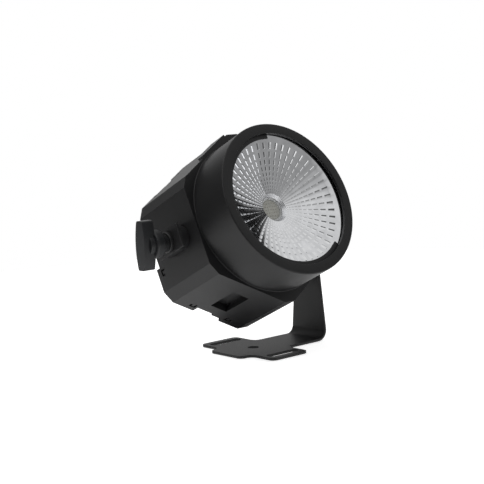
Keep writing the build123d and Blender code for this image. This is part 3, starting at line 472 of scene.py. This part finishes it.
def reflector():
    """Bright bowl whose surface breaks into small leaning facets, row by row along straight spokes."""
    bm = bmesh.new()
    spans = {}
    radii = {FOOT_R, MOUTH_R}
    for inner, outer in facet_rows():
        radii.update((inner, outer))
        spans[round(inner, 4)] = outer
    radii = sorted(radii)
    pitch = 360.0 / SPOKES
    half = pitch * FACET_SHARE / 2
    columns = []
    for spoke in range(SPOKES):
        centre = spoke * pitch
        columns.append((centre - half, True))
        gap = pitch - 2 * half
        columns += [(centre + half + gap * k / PLAIN_COLUMNS, False) for k in range(PLAIN_COLUMNS)]

    def point(r, angle, lift=0.0):
        a = math.radians(angle)
        return bm.verts.new((r * math.cos(a), r * math.sin(a), bowl_z(r) + lift))

    grid = [[point(r, angle) for angle, _ in columns] for r in radii]
    for i in range(len(radii) - 1):
        is_row = round(radii[i], 4) in spans
        for j, (angle, starts_facet) in enumerate(columns):
            k = (j + 1) % len(columns)
            low, high = grid[i], grid[i + 1]
            if not (is_row and starts_facet):
                bm.faces.new((low[j], low[k], high[k], high[j])).smooth = True
                continue
            tip = angle + 2 * half
            rise = 2 * math.radians(half) * math.tan(math.radians(FACET_LEAN))
            near, far = point(radii[i], tip, radii[i] * rise), point(radii[i + 1], tip, radii[i + 1] * rise)
            bm.faces.new((low[j], near, far, high[j])).material_index = 1
            bm.faces.new((near, low[k], high[k], far)).material_index = 1
            bm.faces.new((low[j], low[k], near)).material_index = 1
            bm.faces.new((high[j], far, high[k])).material_index = 1
    under = RING_BACK - FLANGE_THICK
    skins = [(THROAT_R + LIP_OUT, THROAT_RISE + LIP_UP), (THROAT_R, THROAT_RISE - LIP_DOWN),
             (THROAT_R, THROAT_BASE), (THROAT_R + SKIN, THROAT_BASE), (THROAT_R + SKIN, THROAT_BASE + SKIN),
             (FOOT_R + FOOT_WALL, bowl_z(FOOT_R) - SKIN), (UNDER_R, under), (FLANGE_R, under),
             (FLANGE_R, RING_BACK), (MOUTH_R + MOUTH_EASE, RING_BACK)]
    shells = [[bm.verts.new((r * math.cos(math.radians(a)), r * math.sin(math.radians(a)), z))
               for a, _ in columns] for r, z in skins]
    shells = [grid[0]] + shells + [grid[-1]]
    for band, (low, high) in enumerate(zip(shells, shells[1:])):
        for j in range(len(columns)):
            k = (j + 1) % len(columns)
            face = bm.faces.new((low[j], low[k], high[k], high[j]))
            face.smooth = True
            face.material_index = 2 if band < COLLAR_BANDS else 0
    bm.transform(FROM_MM)
    piece = piece_from("faceted_reflector", bm, [BY_SLOT["metallised_reflector"], FACETS, COLLAR], "head",
                       ["reflector"])
    piece.data.set_sharp_from_angle(angle=math.radians(30))


# ---------------------------------------------------------------- LED
LED_FACE, LED_R = 16.0, 9.4
CENTRE_R, COAT_DEPTH = 0.02, 0.6
DAM_RISE, DAM_SHOULDER, DAM_TOP, DAM_FOOT = 0.2, 0.05, 0.35, 0.9
DIE_PITCH, DIE_SIDE, DIE_HEIGHT, DIE_RISE, DIE_ROUND = 2.9, 0.6, 0.3, 0.05, 0.12
DIE_MARGIN = 0.72


def led_array():
    """Round silicone window with a raised dam round it."""
    bm = bmesh.new()
    dome = [(CENTRE_R, LED_FACE - COAT_DEPTH), (LED_R, LED_FACE - COAT_DEPTH),
            (LED_R, LED_FACE - DAM_SHOULDER), (LED_R - DAM_TOP, LED_FACE + DAM_RISE),
            (LED_R - DAM_FOOT, LED_FACE + DAM_SHOULDER),
            (LED_R * 0.5, LED_FACE), (CENTRE_R, LED_FACE)]
    lathe(bm, dome, 96)
    bm.transform(FROM_MM)
    piece = piece_from("led_window", bm, [BY_SLOT["led_coating"]], "head", ["led_emitter"])
    smooth_by_angle(piece)


def led_chips():
    """Square chips on a grid, each a low pillow of phosphor that stands a little above the coat."""
    bm = bmesh.new()
    reach = LED_R - DIE_MARGIN
    count = int(reach / DIE_PITCH)
    for i in range(-count, count + 1):
        for j in range(-count, count + 1):
            x, y = i * DIE_PITCH, j * DIE_PITCH
            if math.hypot(x, y) >= reach:
                continue
            made = bmesh.ops.create_cube(bm, size=1.0)["verts"]
            bmesh.ops.scale(bm, verts=made, vec=(DIE_SIDE, DIE_SIDE, DIE_HEIGHT))
            bmesh.ops.translate(bm, verts=made, vec=(x, y, LED_FACE + DIE_RISE))
            edges = list({e for v in made for e in v.link_edges})
            bmesh.ops.bevel(bm, geom=edges, offset=DIE_ROUND, segments=2, affect="EDGES", profile=0.5)
    bm.transform(FROM_MM)
    piece = piece_from("phosphor_chips", bm, [BY_SLOT["led_chip"]], "head", ["led_dies"])
    smooth_by_angle(piece, 40)


# ---------------------------------------------------------------- carried-over CAD nodes
SOFT_EDGES = {
    "main_housing": 0.5, "bracket": 0.45, "left_clamp_plate": 0.4, "left_spacer": 0.5, "right_spacer": 0.5,
    "left_washer": 0.3, "right_washer": 0.3, "left_knob": 0.2, "right_knob": 0.2, "rear_cover": 0.35,
    "dmx_input": 0.4, "dmx_output": 0.4, "power_inlet": 0.4, "power_outlet": 0.4, "dmx_output_latch": 0.3,
    "menu_button_1": 0.5, "menu_button_2": 0.5, "menu_button_3": 0.5, "menu_button_4": 0.5,
}


def dress_cad_nodes():
    """Gives every CAD node its own finish, and rounds the edges of those that can be seen."""
    for node, piece in frame["nodes"].items():
        piece.data.materials.clear()
        piece.data.materials.append(BY_SLOT[SLOT_OF[node]])
    for node, width in SOFT_EDGES.items():
        softened(node, width)


# ---------------------------------------------------------------- stage, light and camera
FLOOR_R, FLOOR_DROP = 0.7, 0.0004


def stage():
    """Pale round floor under the base plate."""
    bm = bmesh.new()
    bmesh.ops.create_circle(bm, cap_ends=True, radius=FLOOR_R, segments=96)
    mesh = bpy.data.meshes.new("floor")
    bm.to_mesh(mesh)
    bm.free()
    material, tree, surface = finish_material("pale_floor", Roughness=0.9)
    surface.inputs["Specular IOR Level"].default_value = 0.1
    surface.inputs["Emission Color"].default_value = grey(1.0)
    surface.inputs["Emission Strength"].default_value = 0.7
    cloud = grain(tree, 900.0, 1.0)
    colour_between(tree, surface, cloud.outputs["Fac"], "#f4f4f4", "#f8f8f8")
    mesh.materials.append(material)
    floor = bpy.data.objects.new("floor", mesh)
    floor.location = (0, 0, -FLOOR_DROP)
    bpy.context.scene.collection.objects.link(floor)


def brightness_towards(tree, direction, start, end, low, high):
    """Grey of the surroundings that changes from low to high towards one direction."""
    place = add(tree, "ShaderNodeTexCoord")
    facing = add(tree, "ShaderNodeVectorMath", operation="DOT_PRODUCT")
    tree.links.new(place.outputs["Generated"], facing.inputs[0])
    facing.inputs[1].default_value = direction
    return ramp(tree, facing.outputs["Value"], start, end, grey(low), grey(high))


def math_of(tree, operation, one, two):
    """Two values combined."""
    node = add(tree, "ShaderNodeMath", operation=operation)
    tree.links.new(one, node.inputs[0])
    tree.links.new(two, node.inputs[1])
    return node.outputs["Value"]


def surroundings():
    """Plain white round the part, which itself reflects a studio: pale ceiling, grey walls, dark left
    side, white screen behind and white floor ahead."""
    world = bpy.data.worlds.new("studio")
    bpy.context.scene.world = world
    world.use_nodes = True
    tree = world.node_tree
    tree.nodes.clear()
    ceiling = brightness_towards(tree, (0, 0, 1), 0.30, 0.60, 0.36, 0.76)
    below = brightness_towards(tree, (0, 0, -1), -0.005, 0.03, 0.0, 1.0)
    in_front = brightness_towards(tree, (0, -1, 0), 0.22, 0.42, 0.0, 1.0)
    screen = brightness_towards(tree, Vector((0.45, 0.88, -0.1)).normalized(), 0.80, 0.90, 0.0, 1.0)
    dark_side = brightness_towards(tree, (-1, 0, 0), 0.0, 0.07, 1.0, 0.14)
    dark_spot = brightness_towards(tree, Vector((-0.05, -0.99, 0.1)).normalized(), 0.975, 0.995, 1.0, 0.12)
    floor_ahead = math_of(tree, "MULTIPLY", below, in_front)
    room = math_of(tree, "MAXIMUM", math_of(tree, "MAXIMUM", ceiling, floor_ahead), screen)
    level = math_of(tree, "MULTIPLY", math_of(tree, "MULTIPLY", room, dark_side), dark_spot)
    sky = add(tree, "ShaderNodeBackground", wires={"Color": level})
    backdrop = add(tree, "ShaderNodeBackground", {"Color": grey(1.0)})
    ray = add(tree, "ShaderNodeLightPath")
    seen = add(tree, "ShaderNodeMixShader", wires={"Fac": ray.outputs["Is Camera Ray"]})
    tree.links.new(sky.outputs["Background"], seen.inputs[1])
    tree.links.new(backdrop.outputs["Background"], seen.inputs[2])
    add(tree, "ShaderNodeOutputWorld", wires={"Surface": seen.outputs["Shader"]})


def softbox(name, place, target, size, power):
    """A square area light turned towards a point."""
    light = bpy.data.lights.new(name, "AREA")
    light.shape = "SQUARE"
    light.size = size
    light.energy = power
    holder = bpy.data.objects.new(name, light)
    holder.location = place
    holder.rotation_euler = (Vector(target) - Vector(place)).to_track_quat("-Z", "Y").to_euler()
    bpy.context.scene.collection.objects.link(holder)


CAMERA_AT = (-0.7685, -0.8852, 0.2495)
CAMERA_YAW, CAMERA_PITCH, CAMERA_ROLL = -40.653, 7.096, 2.581
CAMERA_LENS = 93.465


def camera():
    """Long lens from the front left, a little above the light, rolled slightly."""
    data = bpy.data.cameras.new("camera")
    data.lens = CAMERA_LENS
    data.sensor_width = 36.0
    data.clip_start = 0.05
    data.clip_end = 50.0
    holder = bpy.data.objects.new("camera", data)
    turn = Euler((math.radians(90 - CAMERA_PITCH), 0, math.radians(CAMERA_YAW))).to_matrix()
    turn = turn @ Matrix.Rotation(math.radians(-CAMERA_ROLL), 3, "Z")
    holder.matrix_world = Matrix.Translation(CAMERA_AT) @ turn.to_4x4()
    bpy.context.scene.collection.objects.link(holder)
    bpy.context.scene.camera = holder


# ---------------------------------------------------------------- the scene
front_bezel()
retaining_ring()
reflector()
led_array()
led_chips()
dress_cad_nodes()
stage()
surroundings()
softbox("key", (-0.9, 0.2, 1.5), (0, 0, 0.12), 2.2, 24.0)
camera()
bpy.context.scene.view_settings.view_transform = "Standard"
